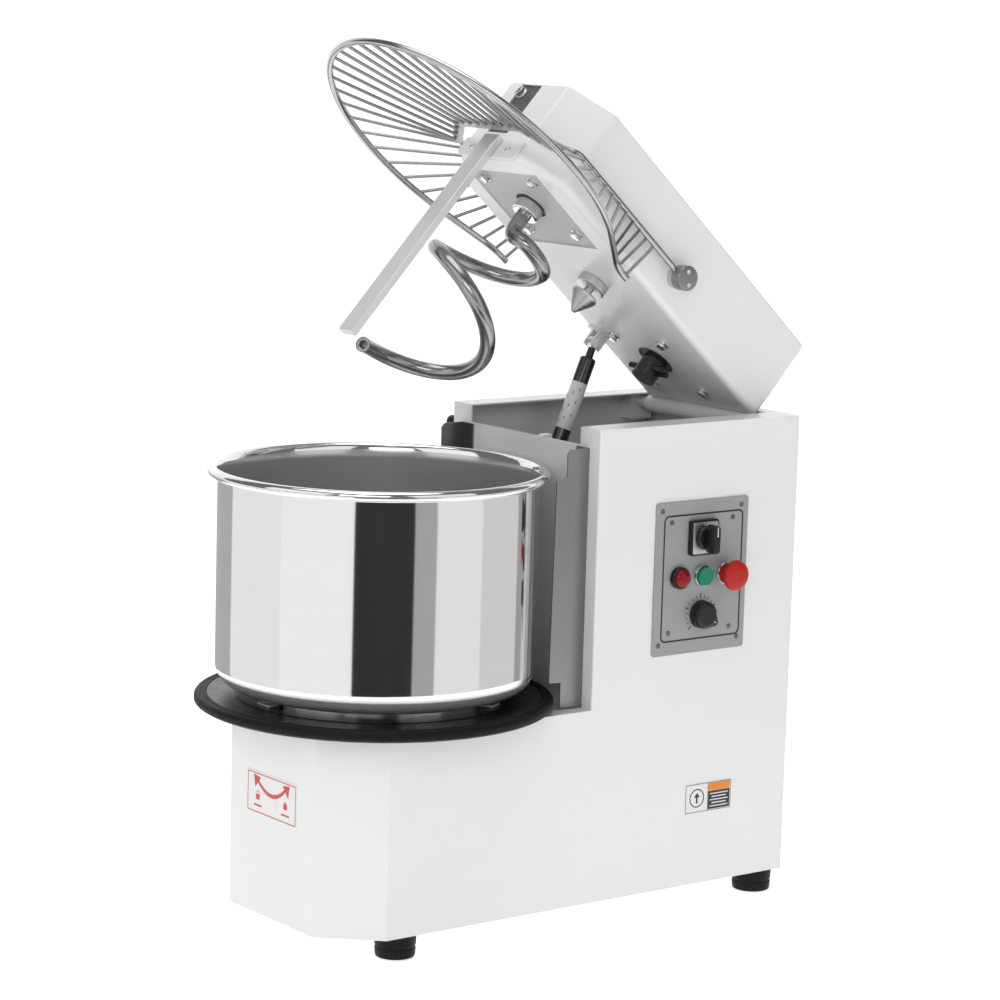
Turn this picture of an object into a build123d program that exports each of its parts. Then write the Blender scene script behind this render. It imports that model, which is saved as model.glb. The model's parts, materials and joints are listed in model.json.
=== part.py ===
from build123d import *

import math
import os
from itertools import accumulate

# Tilting-head spiral dough mixer with its head raised. Millimetres, +Z up, front towards -Y.
# It is drawn with the bowl's axis at X = Y = 0 and the floor at Z = 0, and moved at the end so that
# the origin is the bottom centre of the whole machine. Parts of the head are drawn with the head
# down, placed by their distance forward of the hinge and their height above it, and then raised.

# --- Driving dimensions -------------------------------------------------------------------------
sheet = 2.0                       # casing sheet
body_half = 155.6                 # half width of base and column
base_front_y = -151.5
base_front_half = 94.7            # half width of the base's front face, between its chamfers
chamfer_end_y = -82.8
column_front_y = 228.3
body_back_y = 563.6
foot_height = 30.0
base_top_z = 284.0
column_front_z = 620.0            # top of the column's front panel
column_side_z = 643.0             # top of the side panels
flange = 39.6                     # how far the side panels fold inward

bowl_radius = 202.0
bowl_wall = 2.0
bowl_bottom_z = 314.6
bowl_rim_z = 586.0
tray_radius = 227.4
tray_z = 304.0                    # top of the turntable

head_tilt = 42.5                  # how far the head stands open
hinge_y = 531.0
hinge_z = 629.0
head_half = 110.0
head_back = 7.0                   # forward of the hinge
head_front = 514.0
head_floor = 2.8                  # above the hinge
head_top = 125.0
nose_half = 58.0
nose_chamfer = 52.0

spiral_at = 416.0                 # forward of the hinge
spiral_radius = 66.0
spiral_bar = 10.0                 # radius of the bar the hook is bent from
hook_low = -273.0                 # above the hinge
breaker_low = -296.0
pin_at = 268.0
clutch_x = -14.0
clutch_at = 105.0

strut_x = -90.0
strut_at = 149.8
strut_drop = -14.4
strut_open = 300.0                # between its pivots, head raised
strut_lean = 22.87                # off vertical, head raised

guard_radius = 213.2
guard_ring_up = -18.2
guard_bar = 4.5
guard_arm = 4.2
guard_rod = 2.2
guard_arm_x = 122.0
guard_pivot_at = 244.6
guard_pivot_up = 44.3

latch_y = 236.0
latch_z = 614.0
latch_swing = 75.0

motor_x = -84.0
motor_y = 486.0
motor_pulley = 25.0               # pulley and sprocket radii
drive_pulley = 55.0
turntable_driver = 20.0
turntable_pulley = 125.0
clutch_sprocket = 40.0
spiral_sprocket = 25.0

control_y = 402.0
control_z = 444.0
button_pitch = 38.6
gland_x = 100.0
gland_z = 90.0

slack = 0.05                      # radial clearance of a running fit

inner_half = body_half - sheet
fold_inner = body_half - flange
column_inner_y = column_front_y + sheet
back_inner_y = body_back_y - sheet
drive_y = hinge_y - clutch_at
spiral_y = hinge_y - spiral_at
pin_y = hinge_y - pin_at
head_front_y = hinge_y - head_front
head_under_z = hinge_z + head_floor
head_inner_z = head_under_z + sheet
guard_y = hinge_y - guard_pivot_at
guard_z = hinge_z + guard_pivot_up
plate_x = body_half + sheet       # outer face of the control plate
lamp_y = control_y - button_pitch
stop_y = control_y + button_pitch
switch_y = control_y - 2.0
switch_z = control_z + 50.5
speed_z = control_z - 51.0

parts = {}


# --- Helpers ------------------------------------------------------------------------------------
def block(x, y, z):
    """Box between two X, two Y and two Z values."""
    size = Box(x[1] - x[0], y[1] - y[0], z[1] - z[0])
    return Pos((x[0] + x[1]) / 2, (y[0] + y[1]) / 2, (z[0] + z[1]) / 2) * size


def bar(start, end, radius):
    """Straight round bar between two points."""
    run = Vector(*end) - Vector(*start)
    return Part() + Solid.make_cylinder(radius, run.length, Plane(origin=start, z_dir=run))


def along_x(x, y, z, radius):
    return bar((x[0], y, z), (x[1], y, z), radius)


def upright(x, y, z, radius):
    return bar((x, y, z[0]), (x, y, z[1]), radius)


def tube(x, y, z, outer, inner):
    return upright(x, y, z, outer) - upright(x, y, (z[0] - 1, z[1] + 1), inner)


def turned(outline, x=0.0, y=0.0):
    """Solid of revolution about an upright axis, from (radius, height) points."""
    face = Plane.XZ * make_face(Polyline(*outline, close=True))
    return Pos(x, y, 0) * revolve(face, Axis.Z)


def knob_profile(x, outline, y, z):
    """Solid of revolution about an axis along X, from (radius, distance out from x) points."""
    return Pos(x, y, z) * Rot(0, 90, 0) * turned(outline)


def prism(plan, z):
    """Upright prism on a plan face."""
    return Pos(0, 0, z[0]) * extrude(plan, z[1] - z[0])


def shrunk(outline, inset):
    """Plan face inside an outline, moved in by the inset on every side."""
    face = make_face(Polyline(*outline, close=True))
    return offset(face, -inset, kind=Kind.INTERSECTION) if inset else face


def sideways(outline, x):
    """Prism along X on a (y, z) outline."""
    face = make_face(Polyline(*[(0, y, z) for y, z in outline], close=True))
    return Pos(x[0], 0, 0) * extrude(face, x[1] - x[0], dir=(1, 0, 0))


def swept(path, radius):
    """Round bar of one radius along a path."""
    return sweep(Plane(origin=path @ 0, z_dir=path % 0) * Circle(radius), path)


def hex_head(centre, direction, across=13.0, height=6.0):
    """Hexagon bolt head standing on a face at centre."""
    seat = Plane(origin=centre, z_dir=direction)
    return extrude(seat * RegularPolygon(across / 2, 6, major_radius=False), height)


def mirrored(part):
    return mirror(part, about=Plane.YZ)


def group(members):
    """One sub-part made of separate solids."""
    return Compound([solid for member in members for solid in member.solids()])


def belt(first, second, thickness, z, gap=0.3):
    """Flat belt round two pulleys, given as (x, y, radius), clear of their rims by the gap."""
    def hull(extra):
        rims = Sketch() + [Pos(x, y) * Circle(radius + extra) for x, y, radius in (first, second)]
        return make_hull(rims.edges())
    return prism(hull(gap + thickness) - hull(gap), z)


def add(name, part):
    parts[name] = part


def add_head(name, part):
    """Keep a part of the head, turned from the lowered to the raised position."""
    parts[name] = part.rotate(Axis((0, hinge_y, hinge_z), (1, 0, 0)), -head_tilt)


# --- Base and column ----------------------------------------------------------------------------
base_plan = [
    (body_half, body_back_y), (body_half, chamfer_end_y), (base_front_half, base_front_y),
    (-base_front_half, base_front_y), (-body_half, chamfer_end_y), (-body_half, body_back_y),
]


def base_layer(z, inset, y):
    """Slice of the base's inside, shrunk by the inset and cut to a Y range."""
    return prism(shrunk(base_plan, inset), z) & block((-200, 200), y, z)


def side_panel():
    """Right-hand side: an L-shaped sheet folded inward along the column's front and top."""
    outline = [(chamfer_end_y, foot_height), (body_back_y, foot_height), (body_back_y, column_side_z),
               (column_front_y, column_side_z), (column_front_y, base_top_z), (chamfer_end_y, base_top_z)]
    panel = sideways(outline, (inner_half, body_half))
    panel += block((fold_inner, inner_half), (column_inner_y, back_inner_y),
                   (column_side_z - sheet, column_side_z))
    panel += block((fold_inner, inner_half), (column_front_y, column_inner_y), (base_top_z, column_side_z))
    corner = panel.edges().filter_by(Axis.Z).sort_by(lambda edge: abs(edge.center().X - body_half)
                                                     + abs(edge.center().Y - column_front_y))[0]
    return fillet(corner, 1.8)


def build_casing():
    add("side_panel_right", control_holes(side_panel(), (inner_half - 1, body_half + 1), 4))
    latch_hole = along_x((-body_half - 1, -inner_half + 1), latch_y, latch_z, 4 + slack)
    add("side_panel_left", mirrored(side_panel()) - latch_hole)

    wrap = prism(shrunk(base_plan, 0) - shrunk(base_plan, sheet), (foot_height, base_top_z))
    cover = wrap & block((-200, 200), (-200, chamfer_end_y), (0, 400))
    cover += base_layer((base_top_z - sheet, base_top_z), sheet, (-200, column_front_y))
    add("base_cover", cover - upright(0, 0, (200, 300), 46))
    floor = base_layer((foot_height, foot_height + 3), sheet, (-200, back_inner_y))
    add("base_floor_plate", floor)
    add("column_front_panel", block((-fold_inner, fold_inner), (column_front_y, column_inner_y),
                                    (base_top_z - sheet, column_front_z)))

    back = block((-inner_half, inner_half), (back_inner_y, body_back_y), (foot_height, column_side_z))
    back += block((-fold_inner, fold_inner), (541, back_inner_y), (column_side_z - sheet, column_side_z))
    vent_rows = 6
    vent_pitch = 16.0
    vent = block((-50, 50), (back_inner_y - 1, body_back_y + 1), (120, 125))
    for row in range(vent_rows):
        back -= Pos(0, 0, vent_pitch * row) * vent
    back -= bar((gland_x, 540, gland_z), (gland_x, 600, gland_z), 8)
    add("column_back_panel", back)

    foot = [(0, 0), (24, 0), (25.5, 2), (27, foot_height), (0, foot_height)]
    add("rubber_feet", group([turned(foot, x, y) for x in (-128, 128) for y in (-50, 536)]))


def build_gland():
    inside = back_inner_y - 6
    gland = bar((gland_x, inside, gland_z), (gland_x, body_back_y + 18, gland_z), 8)
    gland += bar((gland_x, body_back_y + 12, gland_z), (gland_x, body_back_y + 18, gland_z), 10)
    gland += hex_head((gland_x, body_back_y, gland_z), (0, 1, 0), 24, 12)
    gland += hex_head((gland_x, back_inner_y, gland_z), (0, -1, 0), 24, 5)
    gland -= bar((gland_x, inside - 1, gland_z), (gland_x, body_back_y + 20, gland_z), 4)
    add("cable_gland", gland)


def build_fins():
    """Bent steel plates that stand forward of the column, beside the bowl."""
    gauge = 1.5
    face_x = 135.0
    back = column_front_y
    outline = [(back, 618), (198.5, 618), (193.6, 613), (193.6, 583), (177.5, 580), (174.5, 321),
               (193.0, 320), (193.0, 287), (back, 285)]
    fin = sideways(outline, (face_x - gauge, face_x))
    fin += block((109.5, face_x - gauge), (back - gauge, back), (285, 618))
    add("bowl_fins", group([fin, mirrored(fin)]))


# --- Bowl and turntable -------------------------------------------------------------------------
def pan(radius, z, corner):
    """Round pan shape: an upright cylinder with a rounded bottom edge."""
    solid = upright(0, 0, z, radius)
    return fillet(solid.edges().group_by(Axis.Z)[0], corner)


def build_bowl():
    corner = 28.0
    bead = 6.5
    inner = bowl_radius - bowl_wall
    bowl = pan(bowl_radius, (bowl_bottom_z, bowl_rim_z), corner)
    bowl -= pan(inner, (bowl_bottom_z + bowl_wall, bowl_rim_z + 20), corner - bowl_wall)
    rim = Pos(0, 0, bowl_rim_z) * Torus(bowl_radius + bead - 0.5, bead)
    bowl += rim - upright(0, 0, (bowl_rim_z - 20, bowl_rim_z + 20), inner)
    add("bowl", bowl + tube(0, 0, (tray_z, bowl_bottom_z), 150, 146))


def build_turntable():
    plate_radius = 213.0
    plate = upright(0, 0, (tray_z - 4, tray_z), plate_radius)
    plate += tube(0, 0, (tray_z - 13, tray_z - 4), 60, 20)
    lug_width = (-14, 14)
    lug = block((152, 168), lug_width, (tray_z, tray_z + 3))
    lug += block((152, 155), lug_width, (tray_z, tray_z + 8))
    for turn in range(3):
        plate += lug.rotate(Axis.Z, 30 + 120 * turn)
    add("tray_plate", plate)
    ring = tube(0, 0, (tray_z - 15, tray_z), tray_radius, plate_radius)
    outside = ring.edges().filter_by(GeomType.CIRCLE).filter_by(lambda edge: edge.radius > tray_radius - 1)
    add("tray_ring", fillet(outside, 5))
    pulley = tube(0, 0, (238, 254), turntable_pulley, 18) - tube(0, 0, (244, 260), turntable_pulley - 10, 40)
    add("turntable_pulley", pulley + upright(0, 0, (226, tray_z - 4), 20))


# --- Drive inside the column --------------------------------------------------------------------
def build_motor():
    housing = upright(motor_x, motor_y, (60, 250), 58) + upright(motor_x, motor_y, (52, 60), 62)
    housing += block((motor_x - 30, motor_x + 30), (motor_y + 50, motor_y + 72), (120, 200))
    span = (motor_y - 70, motor_y + 72)
    housing += block((motor_x - 66, motor_x + 66), span, (46, 52))
    for x in (motor_x - 66, motor_x + 62):
        housing += block((x, x + 4), span, (foot_height + 3, 46))
    add("gear_motor", housing - upright(motor_x, motor_y, (230, 260), 9 + slack))
    spindle = upright(motor_x, motor_y, (234, 338), 9)
    add("motor_pulley", spindle + upright(motor_x, motor_y, (316, 334), motor_pulley))


def build_drive_shaft():
    disc_z = 596.0
    shaft = upright(clutch_x, drive_y, (60, disc_z - 4), 12)
    clutch = upright(clutch_x, drive_y, (disc_z - 8, disc_z), 36)
    for y in (drive_y - 28, drive_y + 28):
        clutch += block((clutch_x - 11, clutch_x + 11), (y - 5, y + 5), (disc_z, disc_z + 22))
    add("drive_shaft", shaft + clutch)
    upper_pulley = tube(clutch_x, drive_y, (316, 334), drive_pulley, 12)
    lower_pulley = tube(clutch_x, drive_y, (237, 255), turntable_driver, 12)
    add("drive_pulleys", group([upper_pulley, lower_pulley]))

    lower = tube(clutch_x, drive_y, (52, 84), 26, 12 + slack)
    lower += block((clutch_x + 6, clutch_x + 60), (drive_y - 26, drive_y + 26), (foot_height + 3, 52))
    arm_z = (512, 538)
    upper = tube(clutch_x, drive_y, arm_z, 26, 12 + slack)
    upper += block((clutch_x - 4, clutch_x + 4), (column_inner_y, drive_y - 25), arm_z)
    upper += block((clutch_x - 40, clutch_x + 40), (column_inner_y, column_inner_y + 4), arm_z)
    table = tube(0, 0, (262, 288), 46, 20 + slack)
    table += tube(0, 0, (base_top_z - sheet - 6, base_top_z - sheet), 64, 45)
    add("shaft_bearings", group([lower, upper, table]))

    first = belt((motor_x, motor_y, motor_pulley), (clutch_x, drive_y, drive_pulley), 4, (318, 332))
    second = belt((clutch_x, drive_y, turntable_driver), (0, 0, turntable_pulley), 4, (239, 253))
    add("drive_belts", group([first, second]))
    add("speed_controller", block((45, 140), (470, back_inner_y), (360, 540)))


# --- Hinge, latch and gas strut -----------------------------------------------------------------
def build_hinge():
    shaft = 8.0
    cheek = block((131, inner_half), (hinge_y - 18, hinge_y + 18), (605, column_side_z - sheet))
    add("hinge_shaft", along_x((-inner_half, inner_half), hinge_y, hinge_z, shaft) + cheek + mirrored(cheek))
    knuckle = along_x((-head_half - 2, head_half + 2), hinge_y, hinge_z, 11.5)
    add_head("hinge_tube", knuckle - along_x((-120, 120), hinge_y, hinge_z, shaft + slack))


def build_latch():
    """Turning latch: its finger swings up into the neck of the head's locking pin."""
    shelf_z = (598, 601)
    shelf = block((-60, 60), (column_inner_y, 300), shelf_z) - upright(0, pin_y, (590, 610), 23)
    shelf -= block((-9, 9), (column_inner_y + 2.7, pin_y), (590, 610))
    shelf += block((-60, 60), (column_inner_y, column_inner_y + 3), (560, shelf_z[0]))
    shelf += block((26, 36), (column_inner_y, latch_y + 9), (shelf_z[0], latch_z + 8))
    add("latch_shelf", shelf - along_x((20, 40), latch_y, latch_z, 4 + slack))
    finger = block((-5, 5), (latch_y, pin_y - 6.5), (latch_z - 2.5, latch_z + 2.5))
    finger = finger.rotate(Axis((0, latch_y, latch_z), (1, 0, 0)), -latch_swing)
    add("latch_shaft", along_x((-170, 40), latch_y, latch_z, 4) + finger)
    knob = [(4, 0), (8.5, 0), (8.5, 15), (7, 17), (0, 17), (0, 12.5), (4, 12.5)]
    add("latch_knob", mirrored(knob_profile(body_half + 2, knob, latch_y, latch_z)))

    root_y = column_inner_y + 1.5
    hook = FilletPolyline((113, root_y, 590), (113, root_y, 634), (113, root_y + 6, 642),
                          (113, root_y + 15, 637), radius=3)
    add("wire_hook", swept(hook, 1.5))


def strut_ends():
    """Both pivots of the strut as (y, z), and its direction from top to foot, with the head raised."""
    tilt = math.radians(head_tilt)
    top_y = hinge_y - strut_at * math.cos(tilt) + strut_drop * math.sin(tilt)
    top_z = hinge_z + strut_at * math.sin(tilt) + strut_drop * math.cos(tilt)
    lean = math.radians(strut_lean)
    down = (-math.sin(lean), -math.cos(lean))
    foot = (top_y + strut_open * down[0], top_z + strut_open * down[1])
    return (top_y, top_z), foot, down


def build_strut():
    top, foot, down = strut_ends()

    def at(distance):
        """Point on the strut's axis, measured from its top pivot."""
        return (strut_x, top[0] + distance * down[0], top[1] + distance * down[1])

    eye_half = 5.0
    cylinder = bar(at(22), at(165), 11) - bar(at(26), at(161), 9.5) - bar(at(160), at(166), 4 + slack)
    cylinder += along_x((strut_x - eye_half, strut_x + eye_half), *top, 9) + bar(at(4), at(22), 5)
    add("strut_cylinder", cylinder - along_x((strut_x - 10, strut_x + 10), *top, 4 + slack))
    rod = bar(at(150), at(strut_open - 4), 4) + bar(at(146), at(150), 9.5 - slack)
    rod += along_x((strut_x - eye_half, strut_x + eye_half), *foot, 9)
    rod += along_x((strut_x - 14.5, strut_x + 14.5), *foot, 4)
    add("strut_rod", rod)
    bracket = block((strut_x - 22, strut_x + 22), (column_inner_y, column_inner_y + 3),
                    (foot[1] - 24, foot[1] + 24))
    for x in (strut_x - 18, strut_x + 15):
        bracket += block((x, x + 3), (column_inner_y, foot[0] + 12), (foot[1] - 14, foot[1] + 14))
    add("strut_bracket", bracket)

    pivot_y = hinge_y - strut_at
    pivot_z = hinge_z + strut_drop
    clevis = block((strut_x - 14, strut_x + 14), (pivot_y - 15, pivot_y + 15), (head_under_z - 3, head_under_z))
    for x in (strut_x - 9, strut_x + 6):
        clevis += block((x, x + 3), (pivot_y - 9, pivot_y + 9), (pivot_z - 8, head_under_z - 3))
    clevis += along_x((strut_x - 11, strut_x + 9), pivot_y, pivot_z, 4)
    add_head("strut_clevis", clevis + hex_head((strut_x + 9, pivot_y, pivot_z), (1, 0, 0), 11, 4))


# --- Head ---------------------------------------------------------------------------------------
def head_form(inset):
    """Outer form of the lowered head, shrunk on every side by the inset."""
    back = hinge_y - head_back
    shoulder = head_front_y + nose_chamfer
    outline = [(head_half, back), (head_half, shoulder), (nose_half, head_front_y),
               (-nose_half, head_front_y), (-head_half, shoulder), (-head_half, back)]
    form = prism(shrunk(outline, inset), (head_under_z + inset, hinge_z + head_top - inset))
    form = fillet(form.edges().filter_by(Axis.Z), 8 - inset)
    form = fillet(form.edges().group_by(Axis.Z)[0], 10 - inset)
    return fillet(form.edges().group_by(Axis.Z)[-1], 4 - inset)


def build_head_casing():
    slot_x = (-33, 8)
    slot_z = (hinge_z + 40, hinge_z + 121)
    shell = head_form(0) - head_form(sheet)
    shell -= along_x((-120, 120), hinge_y, hinge_z, 11.5)
    through = (hinge_z - 5, hinge_z + 8)
    shell -= block((-72, 72), (spiral_y - 66, spiral_y + 75), through)
    shell -= upright(clutch_x, drive_y, through, 27)
    shell -= block(slot_x, (head_front_y - 5, head_front_y + 3), slot_z)
    add_head("head_shell", shell)
    seat = head_front_y + sheet
    add_head("front_strip", block((slot_x[0] - 7, slot_x[1] + 7), (seat, seat + sheet),
                                  (slot_z[0] - 7, hinge_z + head_top - sheet - 3)))

    outline = [(80, 85), (80, -59), (68, -71), (-68, -71), (-80, -59), (-80, 85)]
    plate = prism(shrunk([(x, spiral_y + y) for x, y in outline], 0), (head_inner_z, head_inner_z + 3))
    add_head("gear_plate", plate - upright(0, spiral_y, (600, 700), 22.5))
    down = (0, 0, -1)
    bolts = [hex_head((x, spiral_y + y, head_inner_z), down) for x in (-50, 50) for y in (-50, 50)]
    bolts += [hex_head((clutch_x + x, drive_y + y, head_under_z), down) for x in (-51, 50) for y in (-42, 58)]
    bolts.append(hex_head((slot_x[0] + 8, seat, hinge_z + 108), (0, -1, 0), 13, 9))
    bracket_face = head_front_y - sheet
    bolts += [bar((x, bracket_face, hinge_z + 13), (x, bracket_face - 3, hinge_z + 13), 4.5) for x in (-37, 37)]
    add_head("head_bolts", group(bolts))


def build_lock_pin():
    neck, wide, collar = 6.0, 19.0, 21.0
    outline = [(0, -49), (2.5, -49), (wide, -24), (wide, -20), (neck, -20), (neck, -10), (collar, -10),
               (collar, head_floor), (0, head_floor)]
    add_head("lock_pin", turned([(radius, hinge_z + up) for radius, up in outline], 0, pin_y))


def build_breaker():
    """Fixed bar down the middle of the bowl, on a bracket across the head's front."""
    face = head_front_y - sheet
    bracket = block((-60, 60), (face, head_front_y), (hinge_z - 1, hinge_z + 27))
    lower = bracket.edges().filter_by(Axis.Y).group_by(Axis.Z)[0]
    add_head("breaker_bracket", chamfer(lower, 6))
    breaker = block((-15, 15), (face - 10, face), (hinge_z + breaker_low, hinge_z + 28))
    add_head("breaker_bar", fillet(breaker.edges().filter_by(Axis.Z), 1.5))


def hook_path():
    """Centreline of the hook: down from the head, out to one side, then a falling helix."""
    first, last = math.radians(174), math.radians(672)
    high = -62.0
    corners = 18
    half_step = (last - first) / (corners - 1) / 2
    corner_radius = spiral_radius / math.cos(half_step)

    def place(radius, angle, up):
        return (radius * math.sin(angle), spiral_y - radius * math.cos(angle), hinge_z + up)

    points = [(0, spiral_y, hinge_z), (0, spiral_y, hinge_z - 46),
              place(35, math.radians(97), -50), place(66, math.radians(143), -57)]
    for corner in range(corners):
        share = corner / (corners - 1)
        fall = share ** 1.2 + 0.3 * share ** 2 * (1 - share)
        points.append(place(corner_radius, first + share * (last - first), high + fall * (hook_low - high)))
    runs = [Vector(*end) - Vector(*start) for start, end in zip(points, points[1:])]
    bends = []
    for before, after in zip(runs, runs[1:]):
        half_turn = math.radians(before.get_angle(after)) / 2
        bends.append(0.47 * min(before.length, after.length) / math.tan(half_turn))
    return FilletPolyline(*points, radius=bends)


def build_spiral():
    path = hook_path()
    end = path @ 1
    run = path % 1
    hook = swept(path, spiral_bar) - bar(end - run * 10, end + run * 2, 5)
    add_head("spiral_hook", hook)
    collar = [(10, -12), (17, -12), (19, -10), (19, 6), (10, 6)]
    shaft = turned([(radius, hinge_z + up) for radius, up in collar], 0, spiral_y)
    shaft += upright(0, spiral_y, (hinge_z, hinge_z + 92), 10)
    shaft += upright(0, spiral_y, (hinge_z + 6, hinge_z + 92), 15)
    shaft += upright(0, spiral_y, (hinge_z + 72, hinge_z + 84), spiral_sprocket)
    add_head("spiral_shaft", shaft)


def build_head_clutch():
    """Driven half of the clutch with its cross pins, and the chain that turns the spiral."""
    shaft = upright(clutch_x, drive_y, (hinge_z - 28, hinge_z + 92), 17)
    pin_z = hinge_z - 14
    pin_rows = (drive_y - 6, drive_y + 6)
    pins = [along_x((clutch_x - 32, clutch_x + 32), y, pin_z, 4) for y in pin_rows]
    for y in pin_rows:
        shaft -= along_x((clutch_x - 40, clutch_x + 40), y, pin_z, 4)
    shaft += upright(clutch_x, drive_y, (hinge_z + 72, hinge_z + 84), clutch_sprocket)
    add_head("head_clutch_half", shaft)
    add_head("clutch_cross_pins", group(pins))
    clutch_bearing = tube(clutch_x, drive_y, (head_inner_z, head_inner_z + 42), 36, 17 + slack)
    spiral_bearing = tube(0, spiral_y, (head_inner_z + 3, head_inner_z + 46), 38, 15 + slack)
    add_head("head_bearings", group([clutch_bearing, spiral_bearing]))
    sprockets = (clutch_x, drive_y, clutch_sprocket), (0, spiral_y, spiral_sprocket)
    add_head("drive_chain", belt(*sprockets, 6, (hinge_z + 74, hinge_z + 82)))


# --- Bowl guard ---------------------------------------------------------------------------------
def half_ring():
    """Half of the guard's ring from its front middle: an arc, then runs back beside the head."""
    z = hinge_z + guard_ring_up
    sweep_angle = math.radians(125)
    end_x, end_y = 126.0, 215.0
    middle = (guard_radius * math.sin(sweep_angle / 2), -guard_radius * math.cos(sweep_angle / 2), z)
    arc_x, arc_y = guard_radius * math.sin(sweep_angle), -guard_radius * math.cos(sweep_angle)
    corner_y = arc_y - (arc_x - end_x) * math.tan(sweep_angle)
    arc = ThreePointArc((0, -guard_radius, z), middle, (arc_x, arc_y, z))
    runs = FilletPolyline((arc_x, arc_y, z), (end_x, corner_y, z), (end_x, end_y, z), radius=60)
    return Wire([*arc.edges(), *runs.edges()])


def arm_path(start_at):
    """Centreline of one guard arm, from beside its hub to the front plate."""
    bend = hinge_y - 480
    rest = hinge_z + 33 + guard_arm
    return FilletPolyline((guard_arm_x, hinge_y - start_at, guard_z), (guard_arm_x, bend, guard_z),
                          (103, hinge_y - 500, rest), (99, hinge_y - 507, rest), radius=6)


def guard_rods(trim):
    """Rods from the ring to the arms and plate, closer together towards the hinge."""
    per_side = 20
    ring = half_ring()
    rod_z = hinge_z + 31 - guard_rod + 0.6
    inner = Polyline((guard_arm_x, hinge_y - 308.5, guard_z), (guard_arm_x, hinge_y - 480, guard_z),
                     (101, hinge_y - 503, rod_z), (60, hinge_y - 540, rod_z), (0, hinge_y - 540, rod_z))
    steps = [0] + list(accumulate(min(19 + 1.9 * step, 29.6) for step in range(per_side)))
    rear = 5.0
    rods = []
    for number, step in enumerate(steps):
        back = rear + step / steps[-1] * (ring.length - rear)
        outer = ring @ (1 - back / ring.length)
        rod = bar(tuple(inner @ (number / per_side)), tuple(outer), guard_rod) - trim
        rod = Part() + max(rod.solids(), key=lambda solid: solid.volume)
        rods += [rod] if number == per_side else [rod, mirrored(rod)]
    return rods


def build_guard():
    half = half_ring()
    ring = swept(half, guard_bar)
    ring += mirrored(ring)
    hub = along_x((118.3, 135), guard_y, guard_z, 16.3) - along_x((117, 128.5), guard_y, guard_z, 5 + slack)
    arm = swept(arm_path(guard_pivot_at + 10), guard_arm) - along_x((110, 140), guard_y, guard_z, 16.3)
    arms = arm + mirrored(arm)

    outer = [(0, 547), (62, 547), (107, 505), (107, 497)]
    inner = [(93, 497), (93, 499), (57, 531), (0, 531)]
    half_plate = make_face(Polyline(*[(x, hinge_y - at) for x, at in outer + inner], close=True))
    plate = prism(half_plate, (hinge_z + 31, hinge_z + 33))
    plate += mirrored(plate)

    add_head("guard_ring", ring)
    add_head("guard_arms", group([arms]))
    add_head("guard_front_plate", plate)
    add_head("guard_rods", group(guard_rods(ring + arms + plate)))
    for y in (guard_y - 8.5, guard_y + 8.5):
        hub += along_x((135, 136.5), y, guard_z, 3)
    add_head("guard_hubs", group([hub, mirrored(hub)]))
    boss = along_x((head_half, 118), guard_y, guard_z, 15) + along_x((110, 128), guard_y, guard_z, 5)
    add_head("guard_pivots", group([boss, mirrored(boss)]))


# --- Controls and labels ------------------------------------------------------------------------
def collar(y, outer, inner, height):
    """Ring standing on the control plate round one control."""
    ring = along_x((plate_x, plate_x + height), y, control_z, outer)
    return ring - along_x((plate_x - 1, plate_x + height + 1), y, control_z, inner)


def control_holes(plate, x, extra=0.0):
    """Cut the round holes that the controls' stems pass through."""
    for y, z, radius in [(switch_y, switch_z, 4), (control_y, control_z, 5), (stop_y, control_z, 9),
                         (control_y, speed_z, 3)]:
        plate -= along_x(x, y, z, radius + slack + extra)
    return plate


def build_control_plate():
    low_z, high_z = control_z - 101, control_z + 99
    plate = block((body_half, plate_x), (control_y - 79, control_y + 76), (low_z, high_z))
    plate = fillet(plate.edges().filter_by(Axis.X), 4)
    add("control_plate", control_holes(plate, (body_half - 1, plate_x + 1)))
    screws = []
    for y, z in [(-69, -87), (64, -87), (-69, 88), (64, 88), (-53, -72), (50, -72), (-53, 72.5), (50, 72.5)]:
        screws.append(along_x((plate_x, plate_x + 1.5), control_y + y, control_z + z, 3.2))
    add("control_plate_screws", group(screws))


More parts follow.
